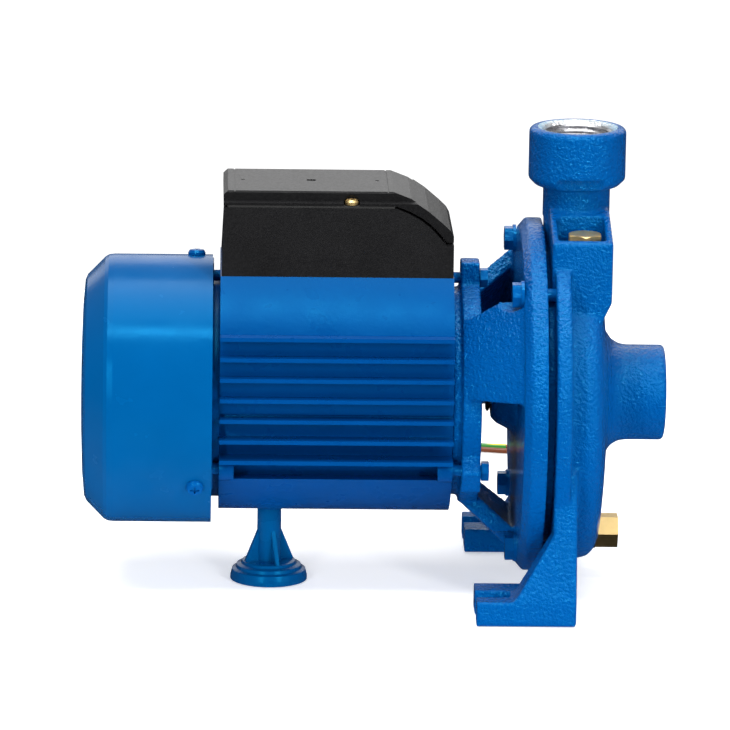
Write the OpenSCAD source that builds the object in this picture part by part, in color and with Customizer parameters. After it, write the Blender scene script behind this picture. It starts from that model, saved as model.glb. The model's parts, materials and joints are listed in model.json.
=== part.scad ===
// Close-coupled centrifugal water pump: single-phase motor, lantern bracket and one-inch volute casing.
// X runs along the shaft with the suction port at +X, Z is up, and Y = 0 is the plane of symmetry.
// The origin is on the floor, under the middle of the pump's length and width.
// Angles around the shaft start at -Y and turn upward, so 90 degrees is the top.

/* [Pump] */
// Height of the shaft above the floor
shaft_height = 88; // [86:1:92]
// Distance of the discharge port's axis from the origin
discharge_x = 89.6; // [89.6:0.1:89.6]
// Distance of the suction port's face from the origin
suction_face_x = 131; // [129:0.2:132]
// Height of the discharge port's face above the shaft
discharge_rise = 121.4; // [120.4:0.2:122.4]
// Outer radius of the suction boss
suction_boss_r = 21.5; // [20:0.1:22]
// Outer radius of the discharge boss
discharge_boss_r = 21.7; // [20:0.1:22]
// Radius of the tapped holes for one-inch pipe
port_r = 15.15; // [14.5:0.05:15.6]
// Length of the tapped pipe holes, below their chamfers
port_depth = 15; // [12:1:15]
// Outer radius of the two pump flanges
pump_flange_r = 79.5; // [78:0.5:81]
// Radius of the circle that the casing bolts stand on
casing_bolt_circle = 71; // [70:0.5:72]
// Outer radius of the impeller
impeller_r = 54; // [48:1:56]
// Number of impeller vanes
impeller_vanes = 6; // [4:1:7]

/* [Feet] */
// Half of the width over the two front feet
foot_half_width = 80; // [78:0.5:82]
// Distance of the foot slots from the plane of symmetry
foot_slot_y = 65; // [62:1:66]
// Width of the foot slots
foot_slot_w = 10; // [8:1:11]
// Thickness of the foot pads
foot_pad_h = 11; // [9:1:12]
// Radius of the rear foot's base
rear_foot_r = 17.4; // [14:0.2:20]
// Place of the rear foot along the shaft
rear_foot_x = -46; // [-50:1:-40]

/* [Motor] */
// Radius of the bore that the stator is pressed into
stator_r = 43.5; // [43:0.1:44]
// Half of the width over the cooling fins
fin_half_width = 55; // [53:0.5:57]
// Number of cooling fins on each side
fin_count = 7; // [7:1:7]
// Distance between the middles of neighbouring fins
fin_pitch = 9.3; // [9:0.1:9.4]
// Radius of the circle that the end screws stand on
end_screw_circle = 52; // [51.5:0.1:52.5]
// Outer radius of the fan cover
cover_r = 60.2; // [60:0.1:61]
// Number of blades on the cooling fan
fan_blades = 8; // [5:1:9]

/* [Terminal box] */
// Half of the box's width at its base
box_half_w = 31; // [31:0.5:31]
// Height of the box's seat above the shaft
box_seat = 58.3; // [58.3:0.1:58.3]
// Height of the lid's top above the shaft
lid_top = 95.9; // [95.7:0.1:96.1]

/* [Supply cord] */
// Diameter of the supply cord
cord_d = 7; // [6:0.5:8]
// Diameter of one insulated core
core_d = 2.6; // [2.2:0.1:3]

/* [Hidden] */

smooth = 96;
small_smooth = 40;
eps = 0.01;

floor_z = -shaft_height;

// Stations along the shaft
cover_end_x = -131;
cover_open_x = -72.5;
frame_x0 = -69.2;
frame_x1 = 34.3;
motor_flange_x0 = 38.5;
motor_flange_x1 = 47;
pump_flange_x1 = 74.7;
casing_flange_x0 = 78.4;
casing_flange_x1 = 85.4;
volute_x1 = 101;
leg_x1 = 88.9;
pad_x0 = 44.8;

// Angles around the shaft
lug_angles = [90, 210, 330];
cover_screw_angles = [97, 213, 327];
arm_angles = [30, 150, 270];
casing_bolt_angles = [50, 116, 230, 291];

// Volute: an eccentric round chamber
volute_r = 69.5;
volute_y = 3;
volute_z = -6.5;
chamber_r = 64.5;
spigot_r = 63;

// Discharge neck and filler pocket
neck_r = 15;
waterway_r = 11.5;
discharge_boss_h = 26;
port_chamfer_r = 17.2;
port_chamfer_h = 1.6;
pocket_y0 = -43;
pocket_y1 = -12;
pocket_x0 = 77;
pocket_x1 = 103.8;
pocket_low_z = 77;
pocket_high_z = 85.7;
plug_x = 92;
plug_y = -28;
plug_seat_z = 71.5;
plug_thread_r = 5.9;
plug_thread_len = 10;
plug_flats = 14;
plug_head_h = 7;
plug_washer_r = 8.2;
plug_washer_h = 1.2;
drain_x = 100.4;
drain_z = -64.5;

// Lid screws and earth screw
lid_screw_x = -11.5;
lid_screw_y = 25;
earth_x = 22;
earth_y = 12;

// Shaft and bearings: 12 x 32 x 10 deep-groove ball bearings
bearing_bore_r = 6;
bearing_outer_r = 16;
bearing_w = 10;
ball_r = 2.9;
ball_circle = 11;
ball_count = 8;
front_bearing_x = 33;
rear_bearing_x = -81.5;

// Screws that hold the fan cover
cover_screw_x = -79.8;

// Casing bolts (M6) and end screws (M5)
casing_bolt_flats = 10;
casing_bolt_head_h = 3.8;
end_screw_flats = 8;
end_screw_head_h = 3.4;
lug_len = 6.5;

// Ring-shaped body around the shaft from a half section of [radius, station] points
module turned(points, fn = smooth) {
    rotate([0, 90, 0]) rotate_extrude($fn = fn) polygon(points);
}

// Part of a turned body, centred on an angle around the shaft
module turned_sector(points, angle, width, fn = smooth) {
    rotate([0, 90, 0]) rotate([0, 0, 90 - angle - width / 2 + 180])
        rotate_extrude(angle = width, $fn = fn) polygon(points);
}

module rod(x0, x1, r, fn = small_smooth) {
    translate([x0, 0, 0]) rotate([0, 90, 0]) cylinder(h = x1 - x0, r = r, $fn = fn);
}

module ring(x0, x1, r_out, r_in, fn = smooth) {
    turned([[r_in, x0], [r_out, x0], [r_out, x1], [r_in, x1]], fn);
}

module hex_rod(x0, x1, flats, turn = 0) {
    translate([x0, 0, 0]) rotate([0, 90, 0]) rotate([0, 0, turn])
        cylinder(h = x1 - x0, r = flats / sqrt(3), $fn = 6);
}

// Moves children to a radius and an angle around the shaft
module at(angle, r) {
    translate([0, -r * cos(angle), r * sin(angle)]) children();
}

// Lifts children from shaft height coordinates to the floor's frame
module on_shaft() {
    translate([0, 0, shaft_height]) children();
}

// Plate cut from an outline in the Y-Z plane, between two stations
module slice_x(points, x0, x1) {
    translate([x0, 0, 0]) rotate([90, 0, 90]) linear_extrude(x1 - x0) polygon(points);
}

// Plate cut from an outline in the X-Z plane, between two widths
module slice_y(points, y0, y1) {
    translate([0, y1, 0]) rotate([90, 0, 0]) linear_extrude(y1 - y0) polygon(points);
}

// ---------------------------------------------------------------- pump casing

module volute_body() {
    translate([0, volute_y, volute_z]) turned([
        [0, 84], [volute_r, 84], [volute_r, 93.5], [68.4, 97], [66, 99.4], [62, volute_x1],
        [50, 102.4], [28, 104.4], [0, 104.4]
    ]);
}

module volute_chamber() {
    translate([0, volute_y, volute_z]) turned([
        [0, 86], [chamber_r, 86], [chamber_r, 93], [62.5, 96], [58, 97.4], [22, 98.4], [0, 98.4]
    ]);
    rod(casing_flange_x0 - 4, 86 + eps, spigot_r + 0.05, smooth);
}

module suction_branch() {
    turned([[0, 100], [28, 100], [28, 104.4], [24, 107], [22, 110.5], [suction_boss_r, 114],
            [suction_boss_r, suction_face_x - 1.2], [suction_boss_r - 1.2, suction_face_x],
            [0, suction_face_x]]);
}

module discharge_branch() {
    boss_z0 = discharge_rise - discharge_boss_h;
    translate([discharge_x, 0, 0]) {
        translate([0, 0, 50]) cylinder(h = boss_z0 - 50 + 2, r = neck_r, $fn = smooth);
        translate([0, 0, boss_z0]) rotate_extrude($fn = smooth) polygon([
            [0, 0], [discharge_boss_r - 3, 0], [discharge_boss_r, 3],
            [discharge_boss_r, discharge_boss_h - 1.5], [discharge_boss_r - 1.5, discharge_boss_h],
            [0, discharge_boss_h]
        ]);
    }
}

// Half section of a port's countersink, as [radius, distance along the port's axis]
function port_chamfer(face) = [
    [0, face - port_chamfer_h], [port_r, face - port_chamfer_h],
    [port_chamfer_r, face + eps], [0, face + eps]
];

module filler_pocket_block() {
    intersection() {
        slice_x([
            [pocket_y0, 38], [pocket_y0, pocket_low_z], [pocket_y1, pocket_high_z],
            [0, pocket_high_z], [0, 38]
        ], pocket_x0, pocket_x1);
        slice_y([
            [pocket_x0, 30], [98, 30], [100, 42], [pocket_x1, 50], [pocket_x1, 90], [pocket_x0, 90]
        ], -60, 10);
    }
}

module filler_pocket_recess() {
    translate([pocket_x0 + 3, pocket_y0 + 3.6, plug_seat_z - plug_washer_h])
        cube([pocket_x1 - pocket_x0 - 6, 22.2, 30]);
}

module casing_leg() {
    leg = [
        [-62, -16], [-69, -22], [-foot_half_width, floor_z + foot_pad_h],
        [-foot_half_width, floor_z], [-46, floor_z], [-46, floor_z + foot_pad_h - 1],
        [-57, floor_z + foot_pad_h + 4], [-50, -52], [-30, -50], [-30, -30]
    ];
    slice_x(leg, casing_flange_x0, leg_x1);
    intersection() {
        slice_x(leg, pad_x0, leg_x1);
        slice_y([[leg_x1, -48], [casing_flange_x0, -48], [63, floor_z + 13.5],
                 [59.5, floor_z + foot_pad_h - 1], [leg_x1, floor_z + foot_pad_h - 1]],
                -foot_half_width, -foot_half_width + 17);
    }
    difference() {
        translate([pad_x0, -foot_half_width, floor_z])
            cube([leg_x1 - pad_x0, foot_half_width - 46, foot_pad_h]);
        translate([0, -foot_slot_y, floor_z - 1]) {
            translate([pad_x0 + 12, 0, 0]) cylinder(h = foot_pad_h + 2, d = foot_slot_w, $fn = small_smooth);
            translate([pad_x0 - 1, -foot_slot_w / 2, 0]) cube([13, foot_slot_w, foot_pad_h + 2]);
        }
    }
}

module pump_casing() {
    color("royalblue") on_shaft() difference() {
        union() {
            translate([0, 0, -rim_drop]) rod(casing_flange_x0, casing_flange_x1, pump_flange_r, smooth);
            rod(pump_flange_x1 + 0.5, casing_flange_x0 + eps, spigot_r + 4, smooth);
            volute_body();
            suction_branch();
            discharge_branch();
            filler_pocket_block();
            casing_leg();
            mirror([0, 1, 0]) casing_leg();
        }
        rod(disc_back_x - 3, pump_flange_x1 + 0.5, pump_flange_r + 1.6, smooth);
        volute_chamber();
        rod(97, suction_face_x, 13.5, small_smooth);
        rod(97, 101.5, 19, smooth);
        translate([0, 0, drain_z]) rod(drain_x, drain_x + 5, 9.5, small_smooth);
        rod(suction_face_x - port_chamfer_h - port_depth, suction_face_x + 1, port_r, smooth);
        turned(port_chamfer(suction_face_x));
        translate([discharge_x, 0, 40]) cylinder(h = 80, r = waterway_r, $fn = small_smooth);
        translate([discharge_x, 0, 0]) {
            translate([0, 0, discharge_rise - port_chamfer_h - port_depth])
                cylinder(h = port_depth + port_chamfer_h + 1, r = port_r, $fn = smooth);
            rotate_extrude($fn = smooth) polygon(port_chamfer(discharge_rise));
        }
        filler_pocket_recess();
        translate([plug_x, plug_y, plug_seat_z - plug_washer_h - plug_thread_len - 2])
            cylinder(h = plug_thread_len + 4, r = plug_thread_r, $fn = small_smooth);
        translate([plug_x, plug_y, 40]) cylinder(h = 30, r = 4, $fn = small_smooth);
        translate([0, 0, drain_z]) {
            rod(drain_x - plug_thread_len - 1, drain_x + 1, plug_thread_r);
        }
        for (a = casing_bolt_angles) at(a, casing_bolt_circle)
            rod(casing_flange_x0 - 1, casing_flange_x1 - 0.4, 3);
    }
}

module plug(turn) {
    difference() {
        union() {
            hex_rod(0, plug_head_h - 1, plug_flats, turn);
            intersection() {
                hex_rod(plug_head_h - 1 - eps, plug_head_h, plug_flats, turn);
                turned([[0, plug_head_h - 2], [8.1, plug_head_h - 2], [8.1, plug_head_h - 0.7],
                        [7, plug_head_h], [0, plug_head_h]], small_smooth);
            }
            rod(-plug_thread_len - plug_washer_h, eps, plug_thread_r - 0.03);
        }
    }
}

module plug_washer() {
    ring(-plug_washer_h, 0, plug_washer_r, plug_thread_r + 0.1, small_smooth);
}

module place_filler() {
    on_shaft() translate([plug_x, plug_y, plug_seat_z]) rotate([0, -90, 0]) children();
}

module place_drain() {
    on_shaft() translate([drain_x + plug_washer_h, 0, drain_z]) children();
}

module filler_plug() {
    color("goldenrod") place_filler() plug(30);
}

module filler_plug_washer() {
    color("dimgray") place_filler() plug_washer();
}

module drain_plug() {
    color("goldenrod") place_drain() {
        plug(30);
        hex_rod(plug_head_h - 2, plug_head_h + 3.2, plug_flats, 30);
    }
}

module drain_plug_washer() {
    color("dimgray") place_drain() plug_washer();
}

module casing_gasket() {
    color("dimgray") on_shaft() ring(pump_flange_x1, pump_flange_x1 + 0.5, spigot_r + 4, spigot_r + 0.1);
}

// ---------------------------------------------------------------- lantern bracket

seal_pocket_r = 13;
hub_wall_x = 44.7;
disc_back_x = 64.4;
rim_drop = 1.2;

module lantern_bracket() {
    color("royalblue") on_shaft() difference() {
        union() {
            // plate that closes the motor, with its spigot and bearing hub
            turned([
                [7, hub_wall_x], [7, 46.7], [17, 46.7], [21, 44], [41, 44], [41, motor_flange_x1],
                [50, motor_flange_x1], [50, motor_flange_x0], [46.8, motor_flange_x0], [46.8, frame_x1],
                [stator_r - 0.1, frame_x1], [stator_r - 0.1, 30.6], [39.5, 30.6], [39.5, 39.5], [22, 39.5],
                [20, front_bearing_x - 0.5], [bearing_outer_r, front_bearing_x - 0.5],
                [bearing_outer_r, front_bearing_x + bearing_w], [14.5, front_bearing_x + bearing_w],
                [14.5, hub_wall_x]
            ]);
            // disc that closes the pump chamber, with the seal housing and the spigot
            turned([
                [8, 53], [12, 53], [14.5, 55.5], [17, 60.5], [21, disc_back_x], [72, disc_back_x],
                [72, pump_flange_x1], [spigot_r, pump_flange_x1], [spigot_r, 79.5], [58, 79.5], [56, 71.5],
                [28, 69.5], [seal_pocket_r, 68.5], [seal_pocket_r, 58.5], [8, 58.5]
            ]);
            translate([0, 0, -rim_drop]) turned([
                [66, disc_back_x], [75.5, disc_back_x], [pump_flange_r, 67.8],
                [pump_flange_r, pump_flange_x1], [66, pump_flange_x1]
            ]);
            for (a = arm_angles) turned_sector([
                [43, 40], [50.6, 40], [74.2, disc_back_x + 1], [74.2, 68], [62, 68],
                [62, disc_back_x - 1.4], [46.5, 46.2], [43, 46.2]
            ], a, 43);
            for (a = lug_angles) at(a, 53.5) rotate([90 - a, 0, 0])
                translate([38.3, -6, -8]) cube([8.5, 12, 14.5]);
        }
        for (a = lug_angles) at(a, end_screw_circle) rod(motor_flange_x0 - 4, 50, 2.75);
        for (a = casing_bolt_angles) at(a, casing_bolt_circle) {
            rod(disc_back_x - 3, pump_flange_x1 + 1, 3.2);
            rod(disc_back_x - 10, disc_back_x + 0.2, 7.4);
        }
    }
}

module casing_bolt(a) {
    seat = disc_back_x + 0.2 - 1.4;
    at(a, casing_bolt_circle) {
        hex_rod(seat - casing_bolt_head_h, seat, casing_bolt_flats, 30);
        rod(seat - eps, casing_flange_x1 - 1, 3 - 0.03);
    }
}

module casing_bolts() {
    color("royalblue") on_shaft() for (a = casing_bolt_angles) casing_bolt(a);
}

module casing_bolt_washers() {
    seat = disc_back_x + 0.2;
    color("royalblue") on_shaft() for (a = casing_bolt_angles)
        at(a, casing_bolt_circle) ring(seat - 1.4, seat, 6.2, 3.1, small_smooth);
}

// ---------------------------------------------------------------- impeller and seal

module impeller_vane() {
    // one vane is an arc from the hub to the rim, leaning back
    translate([83.4, 0, 0]) rotate([0, 90, 0]) linear_extrude(8) intersection() {
        translate([0, 27]) difference() {
            circle(r = 30, $fn = smooth);
            circle(r = 27.8, $fn = smooth);
        }
        translate([12, -10]) square([60, 60]);
        circle(r = impeller_r - 0.5, $fn = smooth);
    }
}

module impeller() {
    color("darkgoldenrod") on_shaft() difference() {
        union() {
            turned([[0, 78.5], [10, 78.5], [10, 81], [impeller_r, 81], [impeller_r, 83.5],
                    [14, 84.5], [10, 91], [0, 91]]);
            turned([[16.5, 91], [impeller_r, 91], [impeller_r, 93], [24, 94], [18.8, 97],
                    [18.8, 101], [16.5, 101]]);
            for (k = [0 : impeller_vanes - 1]) rotate([k * 360 / impeller_vanes, 0, 0]) impeller_vane();
        }
        rod(78, 92, 5.02);
        translate([78, -1.53, 3.5]) cube([14, 3.06, 3]);
    }
}

module impeller_nut() {
    color("silver") on_shaft() difference() {
        hex_rod(92, 98.5, 13, 0);
        rod(91, 99.5, 4);
    }
}

module impeller_washer() {
    color("silver") on_shaft() ring(91, 92, 8, 4.05, small_smooth);
}

module impeller_key() {
    color("silver") on_shaft() translate([79.5, -1.5, 2.8]) cube([11, 3, 3.5]);
}

module seal_seat() {
    color("ivory") on_shaft() ring(60, 66, 11, 7, small_smooth);
}

module seal_seat_cup() {
    color("black") on_shaft() turned([
        [8.5, 58.5], [seal_pocket_r, 58.5], [seal_pocket_r, 66], [11, 66], [11, 60], [8.5, 60]
    ], small_smooth);
}

module seal_face_ring() {
    color("dimgray") on_shaft() turned([
        [6, 66], [10.5, 66], [10.5, 69], [9, 69], [9, 71], [6, 71]
    ], small_smooth);
}

// One polyhedron swept along a list of points with a round section
function unit(v) = v / norm(v);
function tangent(p, i) = unit(p[min(i + 1, len(p) - 1)] - p[max(i - 1, 0)]);
function side_of(t) = abs(t.z) > 0.9 ? unit(cross(t, [1, 0, 0])) : unit(cross(t, [0, 0, 1]));
function section(c, t, s, r, n) = [
    for (k = [0 : n - 1]) c + r * (cos(k * 360 / n) * s + sin(k * 360 / n) * cross(t, s))
];
// Carries the section's side vector along, so that the tube doesn't twist
function carried(p, i = 0, s = undef, found = []) =
    i == len(p) ? found :
    let (
        t = tangent(p, i),
        raw = s == undef ? side_of(t) : s - (s * t) * t,
        next = unit(raw)
    ) carried(p, i + 1, next, concat(found, [next]));

module tube(p, d, n = 10) {
    sides = carried(p);
    m = len(p);
    points = [for (i = [0 : m - 1]) each section(p[i], tangent(p, i), sides[i], d / 2, n)];
    walls = [
        for (i = [0 : m - 2], k = [0 : n - 1])
            [i * n + k, i * n + (k + 1) % n, (i + 1) * n + (k + 1) % n, (i + 1) * n + k]
    ];
    start = [for (k = [n - 1 : -1 : 0]) k];
    end = [for (k = [0 : n - 1]) (m - 1) * n + k];
    polyhedron(points = points, faces = concat([start, end], walls), convexity = 8);
}

spring_turns = 4;
spring_x0 = 71.6;
spring_pitch = 1.45;

module seal_spring() {
    steps = spring_turns * 12;
    color("silver") on_shaft() tube([
        for (i = [0 : steps]) let (a = i * 30)
            [spring_x0 + spring_pitch * a / 360, -8.6 * cos(a), 8.6 * sin(a)]
    ], 1, 6);
}

module slinger() {
    color("black") on_shaft() turned([
        [bearing_bore_r, 50.8], [8.6, 50.8], [9.4, 51.5], [8.6, 52.4], [bearing_bore_r, 52.4]
    ], small_smooth);
}

// ---------------------------------------------------------------- shaft, rotor and bearings

module shaft() {
    color("silver") on_shaft() difference() {
        turned([
            [0, -119], [4.6, -119], [5, -118.4], [5, -92], [bearing_bore_r, -91], [bearing_bore_r, -71.5],
            [8, -71.5], [8, front_bearing_x], [bearing_bore_r, front_bearing_x], [bearing_bore_r, 78.5],
            [5, 78.5], [5, 91], [4, 91], [4, 103.4], [3.4, 104], [0, 104]
        ], small_smooth);
        translate([79.5, -1.5, 2.8]) cube([11, 3, 4]);
        ring(-83.2, -82, 7, 5.4, small_smooth);
        ring(43, 44.2, 7, 5.4, small_smooth);
    }
}

module rotor_core() {
    color("dimgray") on_shaft() ring(-45, 15, 24, 8);
}

module rotor_end_rings() {
    color("silver") on_shaft() for (x = [-52, 15]) ring(x, x + 7, 22.5, 13);
}

module bearing_outer(x0) {
    on_shaft() difference() {
        ring(x0, x0 + bearing_w, bearing_outer_r, 12.8);
        translate([x0 + bearing_w / 2, 0, 0]) rotate([0, 90, 0]) rotate_extrude($fn = smooth)
            translate([ball_circle, 0]) circle(r = ball_r + 0.05, $fn = small_smooth);
    }
}

module bearing_inner(x0) {
    on_shaft() difference() {
        ring(x0, x0 + bearing_w, 9.2, bearing_bore_r);
        translate([x0 + bearing_w / 2, 0, 0]) rotate([0, 90, 0]) rotate_extrude($fn = smooth)
            translate([ball_circle, 0]) circle(r = ball_r + 0.05, $fn = small_smooth);
    }
}

// Balls with the pressed cage that spaces them, as one set
module ball_set(x0) {
    on_shaft() {
        for (k = [0 : ball_count - 1]) translate([x0 + bearing_w / 2, 0, 0])
            at(k * 360 / ball_count, ball_circle) sphere(r = ball_r, $fn = small_smooth);
        ring(x0 + bearing_w / 2 - 0.6, x0 + bearing_w / 2 + 0.6, 11.5, 10.5);
    }
}

module front_bearing_outer() {
    color("silver") bearing_outer(front_bearing_x);
}

module front_bearing_inner() {
    color("silver") bearing_inner(front_bearing_x);
}

module front_bearing_balls() {
    color("gainsboro") ball_set(front_bearing_x);
}

module rear_bearing_outer() {
    color("silver") bearing_outer(rear_bearing_x);
}

module rear_bearing_inner() {
    color("silver") bearing_inner(rear_bearing_x);
}

module rear_bearing_balls() {
    color("gainsboro") ball_set(rear_bearing_x);
}

module wave_washer() {
    color("silver") on_shaft() ring(rear_bearing_x - 0.8, rear_bearing_x, 15.5, 12.8, small_smooth);
}

module shaft_circlips() {
    color("dimgray") on_shaft() {
        ring(-83.15, -82.05, 7.6, 5.45, small_smooth);
        ring(43.05, 44.15, 7.6, 5.45, small_smooth);
    }
}

// ---------------------------------------------------------------- motor

frame_core_r = 47;
skirt_r = 54;
skirt_top = -30.6;
fin_top_z = 35;
fin_t = 1.8;

// The seat of the terminal box widens down to this half width at the top fin
pedestal_half_w = 49;

module frame_section() {
    circle(r = frame_core_r, $fn = smooth);
    intersection() {
        circle(r = skirt_r, $fn = smooth);
        translate([-60, -60]) square([120, 60 + skirt_top]);
    }
    polygon([
        [-box_half_w, box_seat], [box_half_w, box_seat],
        [pedestal_half_w, fin_top_z + 1], [pedestal_half_w, 0], [-pedestal_half_w, 0],
        [-pedestal_half_w, fin_top_z + 1]
    ]);
    for (k = [0 : fin_count - 1])
        translate([-fin_half_width, fin_top_z - k * fin_pitch - fin_t / 2])
            square([2 * fin_half_width, fin_t]);
}

module motor_frame() {
    color("royalblue") on_shaft() difference() {
        union() {
            translate([frame_x0, 0, 0]) rotate([90, 0, 90])
                linear_extrude(frame_x1 - frame_x0) frame_section();
            for (a = lug_angles, x = [frame_x0, frame_x1 - lug_len])
                at(a, end_screw_circle) rod(x, x + lug_len, 5.2);
            translate([rear_foot_x, 0, -55]) cylinder(h = 8, r = 5.6, $fn = small_smooth);
        }
        rod(frame_x0 - 1, frame_x1 + 1, stator_r, smooth);
        for (a = lug_angles, x = [frame_x0 - 1, frame_x1 - lug_len])
            at(a, end_screw_circle) rod(x, x + lug_len + 1, 2.55);
        translate([-45, -22, 20]) cube([60, 44, box_seat]);
        translate([rear_foot_x, 0, -56]) cylinder(h = 14, r = 2, $fn = small_smooth);
        translate([earth_x, earth_y, box_seat - 6]) cylinder(h = 7, r = 2, $fn = small_smooth);
    }
}

module stator_core() {
    color("dimgray") on_shaft() difference() {
        ring(-45, 15, stator_r, 24.4);
        for (k = [0 : 23]) rotate([k * 15, 0, 0]) translate([-46, -1.6, 26]) cube([62, 3.2, 10]);
    }
}

module windings() {
    color("sienna") on_shaft() for (x = [-60.2, 15.2]) turned([
        [28, x], [38, x], [41, x + 3], [41, x + 12], [38, x + 14.8], [27, x + 14.8],
        [25.5, x + 12], [25.5, x + 3]
    ]);
}

module rear_end_shield() {
    color("silver") on_shaft() difference() {
        union() {
            turned([
                [7.5, -84.5], [19, -84.5], [21, -80], [21, -73.5], [44, -72.5], [48.5, -72.5],
                [48.5, frame_x0], [stator_r - 0.1, frame_x0], [stator_r - 0.1, frame_x0 + 3],
                [40, frame_x0 + 3],
                [40, -70.5], [20, -71], [20, -71.5], [bearing_outer_r, -71.5],
                [bearing_outer_r, rear_bearing_x - 1], [13.5, rear_bearing_x - 1], [13.5, -83.5], [7.5, -83.5]
            ]);
            for (a = lug_angles) at(a, 53) rotate([90 - a, 0, 0])
                translate([-83, -6, -10]) cube([11, 12, 15.8]);
        }
        for (a = cover_screw_angles) rotate([90 - a, 0, 0]) translate([cover_screw_x, 0, 50])
            cylinder(h = 12, r = 1.9, $fn = small_smooth);
        for (a = lug_angles) at(a, end_screw_circle) rod(-90, frame_x0 + 1, 2.75);
    }
}

module bracket_screws() {
    color("royalblue") on_shaft() for (a = lug_angles) at(a, end_screw_circle) {
        hex_rod(motor_flange_x1 + 0.2, motor_flange_x1 + 0.2 + end_screw_head_h, end_screw_flats, 30);
        rod(frame_x1 - lug_len + 1, motor_flange_x1 + 0.2 + eps, 2.5);
    }
}

module shield_screws() {
    color("silver") on_shaft() for (a = lug_angles) at(a, end_screw_circle) {
        hex_rod(-83.05 - end_screw_head_h, -83.05, end_screw_flats, 30);
        rod(-83.05 - eps, frame_x0 + lug_len - 1, 2.5);
    }
}

module cooling_fan() {
    color("dimgray") on_shaft() {
        turned([[5, -116], [11, -116], [11, -98], [46, -94.6], [46, -93], [5, -93]]);
        for (k = [0 : fan_blades - 1]) rotate([k * 360 / fan_blades, 0, 0])
            slice_y([
                [-108, 10], [-98.5, 10], [-93.5, 30], [-93.5, 47], [-116, 47], [-116, 13.5], [-108, 13.5]
            ],
                    -0.8, 0.8);
    }
}

module fan_clip() {
    color("silver") on_shaft() ring(-113, -109, 12, 11, small_smooth);
}

cover_t = 1;
// Outline of the cover's closed end, as [inward from the rim, forward from the end]
cover_end_curve = [[34, 0.2], [20, 0.7], [11.5, 1.5], [9.2, 2.5], [1.2, 10.4], [0.3, 12], [0, 14.5]];

function cover_end(shell) = [
    for (point = cover_end_curve) [cover_r - point[0] - shell, cover_end_x + point[1] + shell]
];

function grille_r(row) = 12 + row * 7.2;

module grille_slots() {
    // arcs between six spokes, in five rows
    for (row = [0 : 4], k = [0 : 5])
        turned_sector([
            [grille_r(row), cover_end_x - 2], [grille_r(row) + 4, cover_end_x - 2],
            [grille_r(row) + 4, cover_end_x + 4], [grille_r(row), cover_end_x + 4]
        ], k * 60, 60 - 300 / grille_r(row));
}

module fan_cover() {
    color("royalblue") on_shaft() difference() {
        turned(concat(
            [[0, cover_end_x]], cover_end(0),
            [[cover_r, cover_open_x], [cover_r - cover_t, cover_open_x]],
            [for (k = [len(cover_end_curve) - 1 : -1 : 0]) cover_end(cover_t)[k]],
            [[0, cover_end_x + cover_t]]
        ));
        grille_slots();
        for (a = cover_screw_angles) rotate([90 - a, 0, 0]) translate([cover_screw_x, 0, 50])
            cylinder(h = 15, r = 2.1, $fn = small_smooth);
    }
}

module fan_cover_screws() {
    color("royalblue") on_shaft() for (a = cover_screw_angles)
            rotate([90 - a, 0, 0]) translate([cover_screw_x, 0, 0]) {
        difference() {
            translate([0, 0, cover_r]) rotate_extrude($fn = small_smooth)
                polygon([[0, 0], [3.9, 0], [3.9, 1.1], [3.2, 2.3], [0, 2.9]]);
            for (turn = [0, 90]) rotate([0, 0, turn]) translate([-2, -0.4, cover_r + 1.7]) cube([4, 0.8, 2]);
        }
        translate([0, 0, cover_r - 5.2]) cylinder(h = 5.25, r = 1.88, $fn = small_smooth);
    }
}

// ---------------------------------------------------------------- terminal box

box_wall = 2.4;
box_x0 = -68.8;
box_x1 = 34;
box_top = 89;
lid_half_w = 25;

function box_profile() = [
    [box_x0, box_seat], [box_x0 + 1.4, box_top], [8.5, box_top], [14, 86.8], [19.5, 83.8],
    [24, 80.2], [27.6, 76.4], [30.4, 73], [box_x1, 73], [box_x1, box_seat]
];

module box_solid(inset) {
    intersection() {
        slice_y([
            [box_x0 + inset, box_seat - 1], [box_x0 + 1.4 + inset, box_top + 1 - eps],
            [8.5 - inset * 0.4, box_top + 1 - eps], [19 - inset * 0.8, 83.6], [27 - inset, 76],
            [30.4 - inset, 73], [box_x1 - inset, 73 - inset], [box_x1 - inset, box_seat - 1]
        ], -40, 40);
        slice_x([
            [-box_half_w + inset, box_seat - 2], [-box_half_w + 2 + inset, box_top + 2],
            [box_half_w - 2 - inset, box_top + 2], [box_half_w - inset, box_seat - 2]
        ], box_x0 - 1, box_x1 + 1);
    }
}

module terminal_box() {
    color([0.13, 0.13, 0.14]) on_shaft() difference() {
        intersection() {
            slice_y(box_profile(), -40, 40);
            slice_x([
                [-box_half_w, box_seat], [-box_half_w + 2, box_top], [box_half_w - 2, box_top],
                [box_half_w, box_seat]
            ], box_x0 - 1, box_x1 + 1);
        }
        difference() {
            box_solid(box_wall);
            translate([box_x0, -40, box_seat - 5]) cube([box_x1 - box_x0, 80, 5 + 2.5]);
            for (y = [-lid_screw_y, lid_screw_y]) translate([lid_screw_x, y, box_seat])
                cylinder(h = 40, r = 3.4, $fn = small_smooth);
        }
        translate([-43, -20, box_seat - 1]) cube([56, 40, 5]);
        translate([earth_x, earth_y, box_seat - 1]) cylinder(h = 5, r = 2, $fn = small_smooth);
        for (y = [-lid_screw_y, lid_screw_y])
            translate([lid_screw_x, y, box_top - 10]) cylinder(h = 12, r = 1.5, $fn = small_smooth);
        translate([gland_x, 20, gland_z]) rotate([-90, 0, 0]) cylinder(h = 20, r = 8, $fn = smooth);
    }
}

gland_x = -28;
gland_z = 74;
// Lines across the lid's flat top, and the dimple between them
panel_x0 = -63.5;
panel_x1 = 4.4;
panel_mid_x = -29;

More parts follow.
